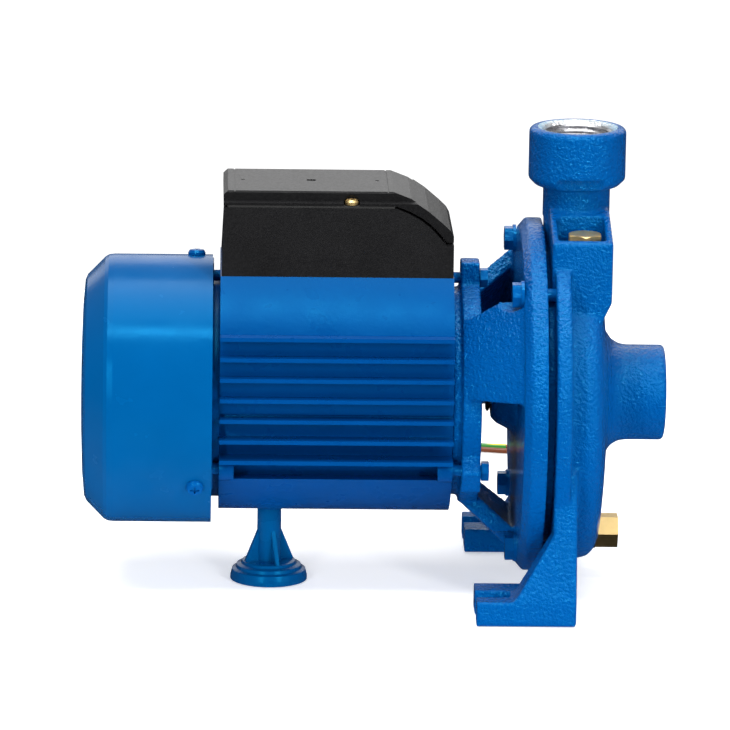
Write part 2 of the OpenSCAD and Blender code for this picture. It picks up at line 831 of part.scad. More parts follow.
module terminal_box_lid() {
    lip = box_half_w - 3;
    color([0.13, 0.13, 0.14]) on_shaft() difference() {
        intersection() {
            slice_y([
                [box_x0 + 0.6, box_top + 0.8], [box_x0 + 0.6, 94], [box_x0 + 2.6, lid_top], [7, lid_top],
                [15, 92.8], [22.6, 87.8], [29, 82.4], [32.6, 79], [box_x1, 76.4], [box_x1, 73.8], [31, 73.8],
                [28, 77.4], [24.4, 81.2], [19.8, 84.7], [14.2, 87.7], [8.6, box_top + 0.8]
            ], -40, 40);
            slice_x([
                [-lip, 72], [-lip, 91], [-lip + 3, 91.6], [-lip + 3, 92.6],
                [-lid_half_w, 93], [-lid_half_w, lid_top - 0.8], [-lid_half_w + 0.8, lid_top + 1],
                [lid_half_w - 0.8, lid_top + 1], [lid_half_w, lid_top - 0.8], [lid_half_w, 93],
                [lip - 3, 92.6], [lip - 3, 91.6], [lip, 91], [lip, 72]
            ], box_x0 - 1, box_x1 + 1);
        }
        translate([box_x0 + 4.8, -20, box_top]) cube([69, 40, lid_top - box_top - 2.2]);
        for (y = [-lid_screw_y, lid_screw_y])
            translate([lid_screw_x, y, 88]) cylinder(h = 6, r = 1.7, $fn = small_smooth);
        // half-round recesses for the heads of the lid screws
        for (side = [-1, 1]) translate([lid_screw_x, side * (lid_screw_y + 4.9), 90.8]) rotate([90, 0, 0])
            cylinder(h = 15.6, r = 3.6, center = true, $fn = small_smooth);
        for (x = [panel_x0, panel_x1]) translate([x, -30, lid_top - 0.35]) cube([0.6, 60, 1]);
        translate([panel_mid_x, 0, lid_top - 0.8]) cylinder(h = 1, r = 2.2, $fn = small_smooth);
        for (x = [panel_x0 + 4, panel_x1 - 4]) translate([x, 0, lid_top - 0.8])
            cylinder(h = 1, r = 0.9, $fn = small_smooth);
    }
}

module lid_gasket() {
    color("dimgray") on_shaft() difference() {
        translate([box_x0 + 2.4, -28, box_top]) cube([74, 56, 0.8]);
        translate([box_x0 + 4.8, -20, box_top - 1]) cube([69, 40, 3]);
        for (y = [-lid_screw_y, lid_screw_y])
            translate([lid_screw_x, y, box_top - 1]) cylinder(h = 4, r = 1.7, $fn = small_smooth);
    }
}

module lid_screws() {
    color("goldenrod") on_shaft() for (y = [-lid_screw_y, lid_screw_y]) translate([lid_screw_x, y, 0]) {
        difference() {
            translate([0, 0, 90.2]) rotate_extrude($fn = small_smooth)
                polygon([[0, 0], [2.9, 0], [2.9, 1.2], [2.1, 2.2], [0, 2.5]]);
            translate([-3, -0.4, 91.6]) cube([6, 0.8, 2]);
        }
        translate([0, 0, box_top - 8]) cylinder(h = 9.3, r = 1.48, $fn = small_smooth);
    }
}

module terminal_block() {
    color("ivory") on_shaft() translate([-62, -16, box_seat + 2.5]) difference() {
        cube([20, 32, 9]);
        for (k = [0 : 3]) translate([-1, 3 + k * 8, 4]) cube([22, 2.2, 6]);
        for (k = [0 : 2]) translate([10, 8.1 + k * 8, 3]) cylinder(h = 8, r = 1.5, $fn = small_smooth);
    }
}

module terminal_screws() {
    color("goldenrod") on_shaft() for (k = [0 : 2]) translate([-52, -7.9 + k * 8, 0]) {
        translate([0, 0, box_seat + 5.6]) cylinder(h = 6, r = 1.48, $fn = small_smooth);
        translate([0, 0, box_seat + 11.5]) cylinder(h = 1.8, r = 2.6, $fn = small_smooth);
    }
}

capacitor_r = 11;
capacitor_z = box_seat + 2.5 + capacitor_r + 0.4;

module capacitor() {
    color("white") on_shaft() translate([0, -9, capacitor_z]) {
        turned([
            [0, -32], [10, -32], [capacitor_r, -31], [capacitor_r, 18], [10.2, 19], [0, 19]
        ], small_smooth);
        for (y = [-3, 3]) translate([-38, y - 1.5, -0.4]) cube([6.5, 3, 0.8]);
    }
}

module capacitor_strap() {
    color("silver") on_shaft() translate([0, -9, capacitor_z])
        ring(-10, -4, capacitor_r + 0.4, capacitor_r, small_smooth);
}

module place_gland() {
    on_shaft() translate([gland_x, 0, gland_z]) rotate([0, 0, 90]) children();
}

gland_y = 31;

module cable_gland() {
    color([0.13, 0.13, 0.14]) place_gland() difference() {
        union() {
            rod(gland_y - 6.8, gland_y, 7.95, smooth);
            hex_rod(gland_y, gland_y + 4, 19, 0);
            rod(gland_y + 4 - eps, gland_y + 10, 8, smooth);
        }
        rod(gland_y - 7, gland_y + 11, cord_d / 2 + 0.05, smooth);
    }
}

module gland_nut() {
    color([0.13, 0.13, 0.14]) place_gland() difference() {
        union() {
            hex_rod(gland_y + 10, gland_y + 17, 19, 0);
            turned([
                [4, gland_y + 16], [9, gland_y + 16], [7.2, gland_y + 24],
                [5.6, gland_y + 42], [4, gland_y + 42]
            ]);
            for (k = [0 : 4]) ring(gland_y + 24 + k * 3.6, gland_y + 25.8 + k * 3.6, 7.6 - k * 0.35, 4);
        }
        rod(gland_y + 9, gland_y + 43, cord_d / 2 + 0.05, smooth);
    }
}

// ---------------------------------------------------------------- rear foot and earth screw

module rear_foot() {
    top = -55;
    color("royalblue") on_shaft() translate([rear_foot_x, 0, 0]) difference() {
        union() {
            rotate_extrude($fn = smooth) polygon([
                [0, floor_z], [rear_foot_r, floor_z], [rear_foot_r, floor_z + 1.5],
                [rear_foot_r - 0.8, floor_z + 4.6],
                [rear_foot_r - 2.4, floor_z + 5.2], [rear_foot_r - 2.8, floor_z + 6.6], [12.6, floor_z + 7.2],
                [12, floor_z + 8.4], [5.5, floor_z + 9], [5.4, top], [0, top]
            ]);
            for (a = [20 : 90 : 290]) rotate([0, 0, a])
                slice_y([
                    [3, floor_z + 8], [11.8, floor_z + 8], [5, floor_z + 24], [3, floor_z + 24]
                ], -0.9, 0.9);
        }
        translate([0, 0, floor_z - 1]) cylinder(h = 60, r = 2.3, $fn = small_smooth);
        translate([0, 0, floor_z - 1]) cylinder(h = 6, r = 4.6, $fn = small_smooth);
    }
}

module rear_foot_screw() {
    color("silver") on_shaft() translate([rear_foot_x, 0, 0]) {
        translate([0, 0, floor_z + 2]) cylinder(h = 3, r = 4.2, $fn = small_smooth);
        translate([0, 0, floor_z + 5 - eps]) cylinder(h = 38.5, r = 1.98, $fn = small_smooth);
    }
}

module earth_screw() {
    color("goldenrod") on_shaft() translate([earth_x, earth_y, 0]) {
        translate([0, 0, box_seat + 2.5]) cylinder(h = 2.4, r = 3.4, $fn = small_smooth);
        translate([0, 0, box_seat - 5]) cylinder(h = 7.6, r = 1.98, $fn = small_smooth);
    }
}

// ---------------------------------------------------------------- supply cord

cord_route = [
    [-28, 72.2, 162], [-28, 78, 162], [-28, 86, 161.5], [-28, 96, 159], [-28, 106, 154], [-28.5, 115, 146],
    [-29, 122, 135], [-29.5, 127.5, 121], [-30, 132, 105], [-31, 136, 88], [-32, 139.5, 71], [-33, 143, 54],
    [-34, 147, 39], [-35, 152.5, 26], [-36, 160, 15.5], [-37, 169, 8.5], [-37.5, 179, 5], [-37.5, 189, 4],
    [-37.5, 198, 3.7]
];
coil_x = 4;
coil_y = 200;
coil_mid_r = 38;
coil_w = 18;
coil_h = 14.4;
tail_route = [[-16, 242.5, 10.5], [-8, 246.3, 9], [1, 248.8, 6], [10, 250.6, 3.9], [18, 251.5, 3.6]];
earth_route = [
    [18.5, 253, 4.9], [26, 253.2, 3.9], [36, 252, 2.4], [46, 249.6, 1.5], [58, 246, 1.3], [74, 243.6, 1.3]
];
brown_route = [
    [18.5, 250, 4.7], [26, 248.6, 3.6], [36, 246.2, 2.3], [46, 243.2, 1.5], [58, 238.8, 1.3],
    [74, 234.6, 1.3]
];
blue_route = [
    [18.5, 251.5, 2.1], [26, 250.6, 1.5], [34, 249.2, 1.3], [42, 247.4, 1.3], [51, 245.2, 1.3]
];

module supply_cord() {
    color([0.1, 0.1, 0.1]) tube(cord_route, cord_d);
}

module supply_cord_coil() {
    color([0.1, 0.1, 0.1]) translate([coil_x, coil_y, 0.2]) rotate_extrude($fn = smooth) polygon([
        [coil_mid_r - coil_w / 2, 2], [coil_mid_r - coil_w / 2 + 2, 0], [coil_mid_r + coil_w / 2 - 2, 0],
        [coil_mid_r + coil_w / 2, 2], [coil_mid_r + coil_w / 2, coil_h - 3], [coil_mid_r + 3, coil_h],
        [coil_mid_r - 3, coil_h], [coil_mid_r - coil_w / 2, coil_h - 3]
    ]);
}

module supply_cord_tail() {
    color([0.1, 0.1, 0.1]) tube(tail_route, cord_d);
}

module core_earth() {
    color("yellowgreen") tube(earth_route, core_d, 8);
}

module core_brown() {
    color("saddlebrown") tube(brown_route, core_d, 8);
}

module core_blue() {
    color("steelblue") tube(blue_route, core_d, 8);
}

pump_casing();
filler_plug();
filler_plug_washer();
drain_plug();
drain_plug_washer();
casing_gasket();
lantern_bracket();
casing_bolts();
casing_bolt_washers();
impeller();
impeller_nut();
impeller_washer();
impeller_key();
seal_seat();
seal_seat_cup();
seal_face_ring();
seal_spring();
slinger();
shaft();
rotor_core();
rotor_end_rings();
front_bearing_outer();
front_bearing_inner();
front_bearing_balls();
rear_bearing_outer();
rear_bearing_inner();
rear_bearing_balls();
wave_washer();
shaft_circlips();
motor_frame();
stator_core();
windings();
rear_end_shield();
bracket_screws();
shield_screws();
cooling_fan();
fan_clip();
fan_cover();
fan_cover_screws();
terminal_box();
terminal_box_lid();
lid_gasket();
lid_screws();
terminal_block();
terminal_screws();
capacitor();
capacitor_strap();
cable_gland();
gland_nut();
rear_foot();
rear_foot_screw();
earth_screw();
supply_cord();
supply_cord_coil();
supply_cord_tail();
core_earth();
core_brown();
core_blue();
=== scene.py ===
"""Looks of the centrifugal water pump: camera, cords, finishes and studio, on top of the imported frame."""
import json
import math

import bmesh
import bpy
from mathutils import Matrix, Vector


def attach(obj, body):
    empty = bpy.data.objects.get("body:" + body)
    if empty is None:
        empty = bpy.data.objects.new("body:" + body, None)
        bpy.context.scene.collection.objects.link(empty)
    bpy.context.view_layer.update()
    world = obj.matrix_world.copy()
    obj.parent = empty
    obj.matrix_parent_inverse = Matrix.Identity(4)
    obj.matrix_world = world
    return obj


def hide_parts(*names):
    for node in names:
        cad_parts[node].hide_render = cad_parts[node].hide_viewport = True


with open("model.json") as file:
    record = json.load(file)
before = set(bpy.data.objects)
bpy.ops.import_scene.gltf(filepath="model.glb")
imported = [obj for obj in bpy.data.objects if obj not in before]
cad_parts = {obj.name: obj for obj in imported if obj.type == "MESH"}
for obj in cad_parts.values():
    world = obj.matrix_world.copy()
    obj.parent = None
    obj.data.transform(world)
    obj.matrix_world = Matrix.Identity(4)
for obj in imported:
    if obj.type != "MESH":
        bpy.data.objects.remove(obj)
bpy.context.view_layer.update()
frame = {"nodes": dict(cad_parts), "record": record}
nodes = frame["nodes"]
ROOT = "pump"
MM = 0.001

# ---------------------------------------------------------------- sizes, in millimetres, as in the CAD model
SHAFT_Z = 88
CORD_D = 7
CORE_D = 2.6
COIL_X = 4
COIL_Y = 200
COIL_R = 38
SUCTION_FACE_X = 131
DISCHARGE_X = 89.6
DISCHARGE_FACE_Z = SHAFT_Z + 121.4
PORT_R = 15.15
PORT_DEPTH = 15
# Bare machined metal reaches this far out from each port's axis and back from its face
BARE_R = 17.9
BARE_DEPTH = 17

# ---------------------------------------------------------------- camera values, in degrees and metres
CAMERA_LENS = 285
CAMERA_DISTANCE = 2.6
CAMERA_ELEVATION = 13.2
CAMERA_AZIMUTH = 1.7
CAMERA_ROLL = 0.9
CAMERA_TARGET = Vector((-0.00375, 0, (SHAFT_Z + 11.3) * MM))


def metres(points):
    return [Vector(p) * MM for p in points]


# ---------------------------------------------------------------- camera
def add_camera():
    """A long lens a little above the pump, rolled slightly, as the pump was photographed."""
    data = bpy.data.cameras.new("camera")
    data.sensor_width = 36
    data.lens = CAMERA_LENS
    data.clip_end = 50
    camera = bpy.data.objects.new("camera", data)
    bpy.context.collection.objects.link(camera)
    elevation = math.radians(CAMERA_ELEVATION)
    azimuth = math.radians(CAMERA_AZIMUTH)
    away = Vector((
        -math.sin(azimuth) * math.cos(elevation),
        -math.cos(azimuth) * math.cos(elevation),
        math.sin(elevation),
    ))
    camera.location = CAMERA_TARGET + CAMERA_DISTANCE * away
    look = (-away).to_track_quat("-Z", "Y")
    roll = Matrix.Rotation(math.radians(CAMERA_ROLL), 4, "Z")
    camera.rotation_euler = (look.to_matrix().to_4x4() @ roll).to_euler()
    bpy.context.scene.camera = camera


add_camera()


# ---------------------------------------------------------------- node helpers for materials
class Shader:
    """A Principled material under construction, with short ways to add texture nodes."""

    def __init__(self, name, roughness, metallic=0.0, coat=0.0):
        self.material = bpy.data.materials.new(name)
        self.material.use_nodes = True
        self.tree = self.material.node_tree
        self.shader = self.tree.nodes["Principled BSDF"]
        self.shader.inputs["Roughness"].default_value = roughness
        self.shader.inputs["Metallic"].default_value = metallic
        self.shader.inputs["Coat Weight"].default_value = coat
        self.shader.inputs["Coat Roughness"].default_value = 0.1
        self.shader.inputs["IOR"].default_value = 1.5
        self.place = self.tree.nodes.new("ShaderNodeTexCoord").outputs["Object"]

    def node(self, kind, **inputs):
        made = self.tree.nodes.new(kind)
        for name, value in inputs.items():
            socket = made.inputs[name.replace("_", " ")]
            if isinstance(value, bpy.types.NodeSocket):
                self.tree.links.new(value, socket)
            else:
                socket.default_value = value
        return made

    def noise(self, scale, detail=3.0, roughness=0.5, stretch=(1, 1, 1)):
        place = self.node("ShaderNodeMapping", Vector=self.place, Scale=stretch).outputs["Vector"]
        return self.node(
            "ShaderNodeTexNoise", Vector=place, Scale=scale, Detail=detail, Roughness=roughness
        ).outputs["Fac"]

    def ramp(self, value, low, high, at_low=0.0, at_high=1.0):
        made = self.node("ShaderNodeMapRange", Value=value)
        made.inputs["From Min"].default_value = low
        made.inputs["From Max"].default_value = high
        made.inputs["To Min"].default_value = at_low
        made.inputs["To Max"].default_value = at_high
        return made.outputs["Result"]

    def mix(self, share, first, second):
        made = self.tree.nodes.new("ShaderNodeMix")
        made.data_type = "RGBA"
        for socket, value in ((made.inputs[0], share), (made.inputs[6], first), (made.inputs[7], second)):
            if isinstance(value, bpy.types.NodeSocket):
                self.tree.links.new(value, socket)
            elif hasattr(value, "__len__"):
                socket.default_value = (*value, 1)
            else:
                socket.default_value = value
        return made.outputs[2]

    def maths(self, operation, first, second):
        made = self.tree.nodes.new("ShaderNodeMath")
        made.operation = operation
        for socket, value in ((made.inputs[0], first), (made.inputs[1], second)):
            if isinstance(value, bpy.types.NodeSocket):
                self.tree.links.new(value, socket)
            else:
                socket.default_value = value
        return made.outputs[0]

    def coordinates(self):
        """The shaded point's x, y and z, in metres."""
        return self.node("ShaderNodeSeparateXYZ", Vector=self.place).outputs

    def colour(self, value):
        if isinstance(value, bpy.types.NodeSocket):
            self.tree.links.new(value, self.shader.inputs["Base Color"])
        else:
            self.shader.inputs["Base Color"].default_value = (*value, 1)
        return self

    def rough(self, value):
        self.tree.links.new(value, self.shader.inputs["Roughness"])
        return self

    def metal(self, value):
        self.tree.links.new(value, self.shader.inputs["Metallic"])
        return self

    def bump(self, value, strength, distance):
        made = self.node("ShaderNodeBump", Height=value, Strength=strength, Distance=distance)
        old = self.shader.inputs["Normal"].links
        if old:
            self.tree.links.new(old[0].from_socket, made.inputs["Normal"])
        self.tree.links.new(made.outputs["Normal"], self.shader.inputs["Normal"])
        return self


# The photo's blues have almost no red in them, so the paints hold none
SHEET_BLUE = (0, 0.074, 0.245)
FRAME_BLUE = (0, 0.046, 0.205)
CAST_BLUE = (0, 0.072, 0.285)
BLUE_SHEEN = (0.02, 0.55, 1.0)
PALE_SHEEN = (0.05, 0.6, 1.0)


def blue_paint(name, tone, grain, roughness=0.3, gloss=0.35, sheen=BLUE_SHEEN):
    """Enamel over bare metal: faint clouds of tone, orange peel, and pebbles where the casting is rough."""
    paint = Shader(name, roughness)
    paint.shader.inputs["Specular IOR Level"].default_value = gloss
    paint.shader.inputs["Specular Tint"].default_value = (*sheen, 1)
    deep = tuple(c * 0.93 for c in tone)
    light = tuple(c * 1.22 for c in tone)
    clouds = paint.mix(paint.ramp(paint.noise(38, 4), 0.3, 0.7), deep, tone)
    paint.colour(paint.mix(paint.ramp(paint.noise(260, 3), 0.62, 0.8, 0, 0.25 * grain), clouds, light))
    paint.rough(paint.ramp(paint.noise(90, 3), 0.3, 0.7, roughness - 0.05, roughness + 0.06))
    paint.bump(paint.noise(420, 2), 0.1, 0.0004)
    if grain:
        paint.bump(paint.noise(700, 2, 0.5), 0.62 * grain, 0.0018)
        paint.bump(paint.noise(150, 2), 0.35 * grain, 0.0018)
    return paint


def machined_ports(paint):
    """Bare metal on the chamfers and in the bores of the two pipe ports."""
    x, y, z = (paint.coordinates()[k] for k in range(3))
    z_up = paint.maths("SUBTRACT", z, SHAFT_Z * MM)
    from_shaft = paint.maths("SQRT", paint.maths(
        "ADD", paint.maths("MULTIPLY", y, y), paint.maths("MULTIPLY", z_up, z_up)), 0)
    x_off = paint.maths("SUBTRACT", x, DISCHARGE_X * MM)
    from_neck = paint.maths("SQRT", paint.maths(
        "ADD", paint.maths("MULTIPLY", x_off, x_off), paint.maths("MULTIPLY", y, y)), 0)
    bare_r = BARE_R * MM
    suction = paint.maths("MULTIPLY", paint.maths("GREATER_THAN", x, (SUCTION_FACE_X - BARE_DEPTH) * MM),
                          paint.maths("LESS_THAN", from_shaft, bare_r))
    discharge = paint.maths("MULTIPLY", paint.maths("GREATER_THAN", z, (DISCHARGE_FACE_Z - BARE_DEPTH) * MM),
                            paint.maths("LESS_THAN", from_neck, bare_r))
    bare = paint.maths("MAXIMUM", suction, discharge)
    painted = paint.shader.inputs["Base Color"].links[0].from_socket
    metal_tone = paint.mix(paint.noise(900, 2), (0.55, 0.56, 0.57), (0.75, 0.76, 0.77))
    paint.colour(paint.mix(bare, painted, metal_tone))
    paint.metal(paint.maths("MULTIPLY", bare, 0.6))
    return paint


def metal(name, tone, roughness, stretch=(1, 1, 1), scale=500, spread=0.25):
    """Machined or drawn metal with fine tool marks and faint stains."""
    made = Shader(name, roughness, metallic=1.0)
    marks = made.noise(scale, 4, 0.6, stretch)
    dark = tuple(c * (1 - spread) for c in tone)
    made.colour(made.mix(made.ramp(made.noise(60, 3), 0.3, 0.7), dark, tone))
    made.rough(made.ramp(marks, 0.3, 0.7, roughness * 0.75, roughness * 1.3))
    made.bump(marks, 0.25, 0.0002)
    return made


def moulded(name, tone, roughness, grain=0.3, scale=1500, gloss=0.5):
    """Moulded plastic or rubber with a fine even grain and slightly uneven gloss."""
    made = Shader(name, roughness)
    made.shader.inputs["Specular IOR Level"].default_value = gloss
    light = tuple(min(1, c * 1.25 + 0.002) for c in tone)
    made.colour(made.mix(made.ramp(made.noise(45, 4), 0.35, 0.75), tone, light))
    made.rough(made.ramp(made.noise(900, 2), 0.3, 0.7, roughness - 0.03, roughness + 0.04))
    made.bump(made.noise(scale, 2), grain, 0.0003)
    return made


def laminated():
    """Stacked steel sheets: fine lines square to the shaft."""
    made = Shader("laminations", 0.45, metallic=1.0)
    lines = made.noise(900, 1, 0.5, (2.2, 0.05, 0.05))
    made.colour(made.mix(made.ramp(lines, 0.4, 0.6), (0.08, 0.08, 0.085), (0.26, 0.26, 0.27)))
    made.bump(lines, 0.6, 0.0003)
    return made


def wound_copper():
    """Bundled enamelled wire, under a lacing varnish."""
    made = Shader("copper_winding", 0.3, metallic=0.6, coat=0.4)
    strands = made.noise(700, 2, 0.5, (0.5, 1, 1))
    made.colour(made.mix(made.ramp(strands, 0.4, 0.6), (0.16, 0.035, 0.008), (0.52, 0.17, 0.05)))
    made.bump(strands, 0.9, 0.0008)
    return made


def striped_core():
    """Yellow insulation with green lengthwise stripes."""
    made = Shader("core_earth", 0.35)
    stripes = made.noise(260, 0, 0.5, (0.08, 1, 1))
    made.colour(made.mix(made.ramp(stripes, 0.5, 0.54), (0.72, 0.62, 0.02), (0.03, 0.22, 0.03)))
    made.bump(made.noise(1500, 2), 0.15, 0.0002)
    return made


def plain_core(name, tone):
    made = Shader(name, 0.35)
    made.colour(made.mix(made.noise(200, 2), tone, tuple(c * 1.25 for c in tone)))
    made.bump(made.noise(1500, 2), 0.15, 0.0002)
    return made


materials = {
    "blue_cast_iron": machined_ports(blue_paint("cast_paint", CAST_BLUE, 1.0, 0.13, 0.62, PALE_SHEEN)),
    "blue_aluminium": blue_paint("frame_paint", FRAME_BLUE, 0.05),
    "blue_sheet": blue_paint("cover_paint", SHEET_BLUE, 0.0, 0.22, 0.35),
    "blue_hardware": blue_paint("bolt_paint", CAST_BLUE, 0.2, 0.18, 0.7, PALE_SHEEN),
    "blue_plastic": blue_paint("foot_paint", SHEET_BLUE, 0.05, 0.26),
    "plug_brass": metal("plug_brass", (0.78, 0.57, 0.25), 0.42, spread=0.12),
    "seal_rubber": moulded("seal_rubber", (0.012, 0.012, 0.012), 0.6),
    "steel": metal("plain_steel", (0.58, 0.58, 0.6), 0.3),
    "lamination": laminated(),
    "bare_aluminium": metal("bare_aluminium", (0.7, 0.71, 0.73), 0.42, scale=900),
    "copper_winding": wound_copper(),
    "seal_ceramic": moulded("seal_ceramic", (0.75, 0.73, 0.66), 0.2, grain=0.05),
    "seal_carbon": moulded("seal_carbon", (0.02, 0.02, 0.022), 0.35, grain=0.1),
    "box_plastic": moulded("box_plastic", (0.003, 0.003, 0.0036), 0.34, grain=0.18, gloss=0.4),
    "fan_plastic": moulded("fan_plastic", (0.025, 0.025, 0.028), 0.5),
    "block_plastic": moulded("block_plastic", (0.6, 0.57, 0.45), 0.45),
    "capacitor_plastic": moulded("capacitor_plastic", (0.72, 0.72, 0.7), 0.3, grain=0.08),
    "cord_rubber": moulded("cord_rubber", (0.012, 0.012, 0.012), 0.5, grain=0.2, scale=1100),
    "core_earth_pvc": striped_core(),
    "core_brown_pvc": plain_core("core_brown", (0.13, 0.035, 0.012)),
    "core_blue_pvc": plain_core("core_blue", (0.02, 0.09, 0.4)),
}


def dress(piece, slot_name):
    piece.data.materials.clear()
    piece.data.materials.append(materials[slot_name].material)


slot_of = {part["node"]: part["material_slot"] for part in frame["record"]["subparts"]}


# ---------------------------------------------------------------- cords
CORD_ROUTE = [
    (-28, 72.2, 162), (-28, 78, 162), (-28, 86, 161.5), (-28, 96, 159), (-28, 106, 154), (-28.5, 115, 146),
    (-29, 122, 135), (-29.5, 127.5, 121), (-30, 132, 105), (-31, 136, 88), (-32, 139.5, 71), (-33, 143, 54),
    (-34, 147, 39), (-35, 152.5, 26), (-36, 160, 15.5), (-37, 169, 8.5), (-37.5, 179, 5), (-37.5, 189, 4),
]
TAIL_ROUTE = [(-16, 242.5, 10.5), (-8, 246.3, 9), (1, 248.8, 6), (10, 250.6, 3.9), (18, 251.5, 3.6)]
EARTH_ROUTE = [
    (18.5, 253, 4.9), (26, 253.2, 3.9), (36, 252, 2.4), (46, 249.6, 1.5), (58, 246, 1.3), (74, 243.6, 1.3),
]
BROWN_ROUTE = [
    (18.5, 250, 4.7), (26, 248.6, 3.6), (36, 246.2, 2.3), (46, 243.2, 1.5), (58, 238.8, 1.3), (74, 234.6, 1.3),
]
BLUE_ROUTE = [(18.5, 251.5, 2.1), (26, 250.6, 1.5), (34, 249.2, 1.3), (42, 247.4, 1.3), (51, 245.2, 1.3)]

# The coil's four turns, as (radius, height) of each, a cord's diameter apart
COIL_TURNS = [(41.5, 3.7), (34.5, 3.7), (34.5, 10.7), (41.5, 10.7)]
TURN_STEPS = 18


def ease(share):
    return share * share * (3 - 2 * share)


def coil_points():
    """The turns run clockwise from the coil's -X side. Each passes to the next in its last quarter."""
    points = []
    for turn, (radius, height) in enumerate(COIL_TURNS):
        next_radius, next_height = COIL_TURNS[min(turn + 1, len(COIL_TURNS) - 1)]
        for step in range(TURN_STEPS):
            share = step / TURN_STEPS
            passing = ease(max(0, share - 0.75) / 0.25)
            r = radius + (next_radius - radius) * passing
            z = height + (next_height - height) * passing
            angle = math.pi - 2 * math.pi * share
            points.append((COIL_X + r * math.cos(angle), COIL_Y + r * math.sin(angle), z))
    last_radius, last_height = COIL_TURNS[-1]
    for step in range(3):
        angle = math.pi - step * math.radians(20)
        r = last_radius + 1.8 * step
        points.append((COIL_X + r * math.cos(angle), COIL_Y + r * math.sin(angle), last_height))
    return points


def make_tube(name, points, diameter, slot_name):
    curve = bpy.data.curves.new(name, "CURVE")
    curve.dimensions = "3D"
    curve.resolution_u = 5
    curve.bevel_depth = diameter / 2 * MM
    curve.bevel_resolution = 6
    curve.use_fill_caps = True
    spline = curve.splines.new("BEZIER")
    spline.bezier_points.add(len(points) - 1)
    for point, place in zip(spline.bezier_points, metres(points)):
        point.co = place
        point.handle_left_type = "AUTO"
        point.handle_right_type = "AUTO"
    drawn = bpy.data.objects.new(name + "_line", curve)
    bpy.context.collection.objects.link(drawn)
    bpy.context.view_layer.update()
    mesh = bpy.data.meshes.new_from_object(drawn.evaluated_get(bpy.context.evaluated_depsgraph_get()))
    bpy.data.objects.remove(drawn)
    for face in mesh.polygons:
        face.use_smooth = True
    piece = bpy.data.objects.new(name, mesh)
    bpy.context.collection.objects.link(piece)
    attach(piece, ROOT)
    dress(piece, slot_name)
    return piece


def mesh_piece(name, vertices, faces, slot_name, body=ROOT, smooth=True):
    mesh = bpy.data.meshes.new(name)
    mesh.from_pydata([Vector(v) * MM for v in vertices], [], faces)
    mesh.update()
    made = bmesh.new()
    made.from_mesh(mesh)
    bmesh.ops.recalc_face_normals(made, faces=made.faces)
    made.to_mesh(mesh)
    made.free()
    for face in mesh.polygons:
        face.use_smooth = smooth
    piece = bpy.data.objects.new(name, mesh)
    bpy.context.collection.objects.link(piece)
    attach(piece, body)
    dress(piece, slot_name)
    return piece


def cord_tie():
    """A soft strap looped round the coil's turns on its far side."""
    half_w = 9.0
    half_h = 8.4
    width = 5.0
    steps = 28
    vertices = []
    faces = []
    angle_of_tie = math.radians(60)
    outward = Vector((math.cos(angle_of_tie), math.sin(angle_of_tie), 0))
    along = Vector((-outward.y, outward.x, 0))
    middle = Vector((COIL_X, COIL_Y, 8.6)) + outward * COIL_R
    for k in range(steps):
        angle = 2 * math.pi * k / steps
        cos, sin = math.cos(angle), math.sin(angle)
        flat = (abs(cos) ** 6 + abs(sin) ** 6) ** (-1 / 6)
        rim = middle + outward * (half_w * cos * flat) + Vector((0, 0, half_h * sin * flat))
        thick = (outward * cos + Vector((0, 0, sin))) * 0.9
        for side in (-0.5, 0.5):
            vertices += [rim + along * width * side, rim + along * width * side - thick]
    for k in range(steps):
        a, b = 4 * k, 4 * ((k + 1) % steps)
        for i, j in ((0, 2), (2, 3), (3, 1), (1, 0)):
            faces.append((a + i, a + j, b + j, b + i))
    return mesh_piece("cord_tie", vertices, faces, "cord_rubber")


def copper_tip(name, route):
    """Bare strands at the end of a core: a few wires laid side by side round one."""
    end, before = Vector(route[-1]), Vector(route[-2])
    along = (end - before).normalized()
    side = along.cross(Vector((0, 0, 1))).normalized()
    up = side.cross(along)
    vertices = []
    faces = []
    strand_r = 0.32
    sides = 6
    length = 5.0
    spacing = 0.66
    offsets = [(0, 0)]
    for k in range(6):
        offsets.append((spacing * math.cos(k * math.pi / 3), spacing * math.sin(k * math.pi / 3)))
    for p, q in offsets:
        base = len(vertices)
        for station in (0, 1, 2):
            centre = end + along * (length * station / 2 - 0.4) + side * p + up * q
            centre += side * 0.12 * station * q
            for k in range(sides):
                angle = 2 * math.pi * k / sides
                vertices.append(centre + strand_r * (math.cos(angle) * side + math.sin(angle) * up))
        for station in (0, 1):
            for k in range(sides):
                a = base + station * sides + k
                b = base + station * sides + (k + 1) % sides
                faces.append((a, b, b + sides, a + sides))
        faces.append(tuple(base + 2 * sides + k for k in range(sides)))
    return mesh_piece(name, vertices, faces, "copper_winding")


jacket_points = CORD_ROUTE + coil_points() + TAIL_ROUTE
jacket = make_tube("cord_jacket", jacket_points, CORD_D, "cord_rubber")
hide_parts("supply_cord", "supply_cord_coil", "supply_cord_tail")
cord_tie()
for core, route in (("earth", EARTH_ROUTE), ("brown", BROWN_ROUTE), ("blue", BLUE_ROUTE)):
    wire = make_tube(f"wire_{core}", route, CORE_D, f"core_{core}_pvc")
    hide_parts(f"core_{core}")
    copper_tip(f"tip_{core}", route)


# ---------------------------------------------------------------- CAD nodes: finishes and softened edges
# The castings get a skin of small voxels, whose corners are then smoothed
CAST_NODES = ("pump_casing", "lantern_bracket")
# Width of the rounded edges of the other parts, in millimetres
SOFT_EDGES = {
    "motor_frame": 0.45, "rear_foot": 0.5, "terminal_box_lid": 0.7,
    "cable_gland": 0.3, "gland_nut": 0.4, "filler_plug": 0.3, "drain_plug": 0.3, "casing_bolts": 0.35,
    "bracket_screws": 0.25, "shield_screws": 0.25, "capacitor": 0.4, "terminal_block": 0.3,
    "rear_end_shield": 0.4,
}
for name, piece in nodes.items():
    dress(piece, slot_of[name])

